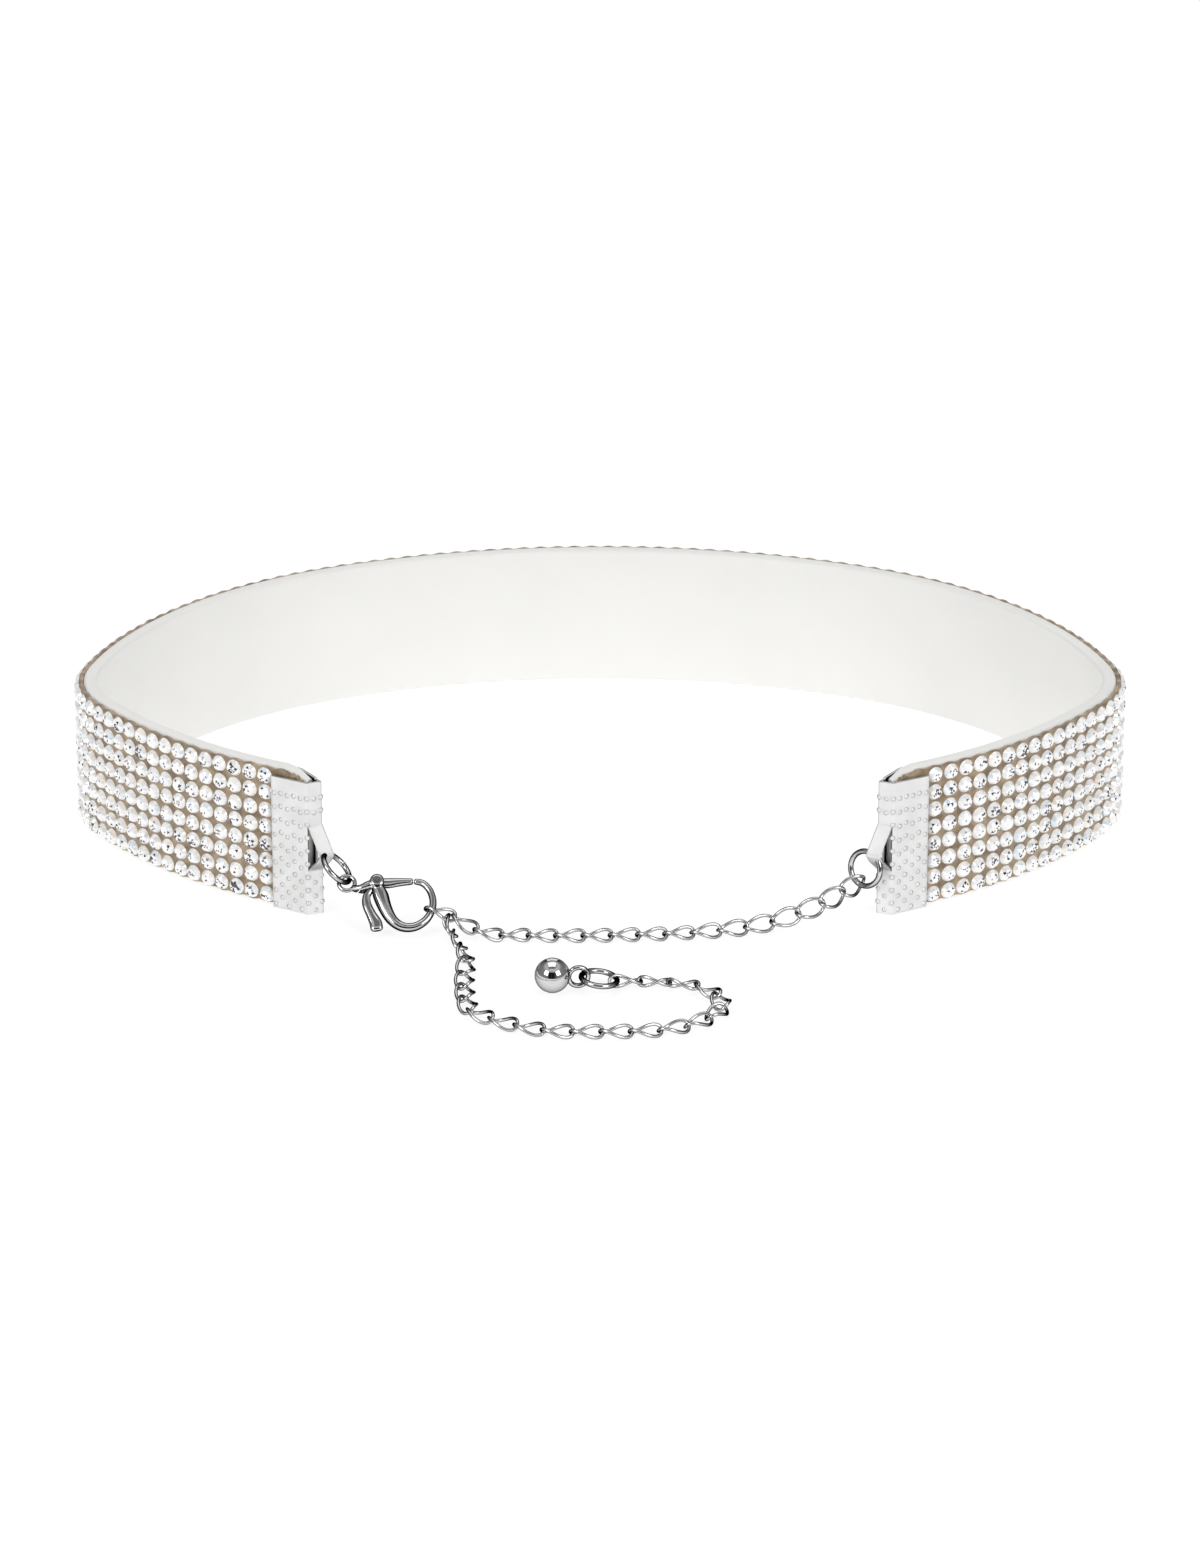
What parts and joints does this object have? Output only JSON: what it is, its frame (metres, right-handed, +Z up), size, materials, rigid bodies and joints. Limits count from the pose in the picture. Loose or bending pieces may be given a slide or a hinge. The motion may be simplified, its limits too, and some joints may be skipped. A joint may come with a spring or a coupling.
{
  "type": "choker necklace",
  "caption": "Wide stone-set choker band standing on its edge, closed in front by a lobster clasp on an extender chain with a ball end.",
  "frame": {"origin": "middle of the footprint, at the level of the surface that it stands on", "axes": "+X from the left end clamp to the right one, +Y towards the back of the band, +Z up"},
  "size_m": [0.1432, 0.125, 0.0198],
  "materials": {
    "backing": "smooth off-white backing strip",
    "stones": "clear cut stones in tan resin",
    "clamp": "pale silver sheet with pressed dimples",
    "ring": "polished silver wire",
    "clasp": "polished silver casting",
    "chain": "polished silver wire links",
    "ball": "high polish"
  },
  "bodies": {
    "necklace": {"band_backing": "backing", "stone_field": "stones", "clamp_left": "clamp", "clamp_right": "clamp", "jump_ring_left": "ring", "jump_ring_right": "ring", "clasp_body": "clasp", "chain_fastened": "chain", "chain_tail": "chain", "tail_ring": "ring", "ball_drop": "ball"},
    "lever": {"clasp_lever": "clasp"}
  },
  "joints": [
    {"name": "clasp_lever_hinge", "type": "hinge", "parent": "necklace", "child": "lever", "pos_m": [-0.02936, -0.02571, 0.00566], "axis": [0, -0.6691, 0.7431], "range_deg": [-24, 0], "stiffness_Nm_per_rad": 0.0005}
  ]
}
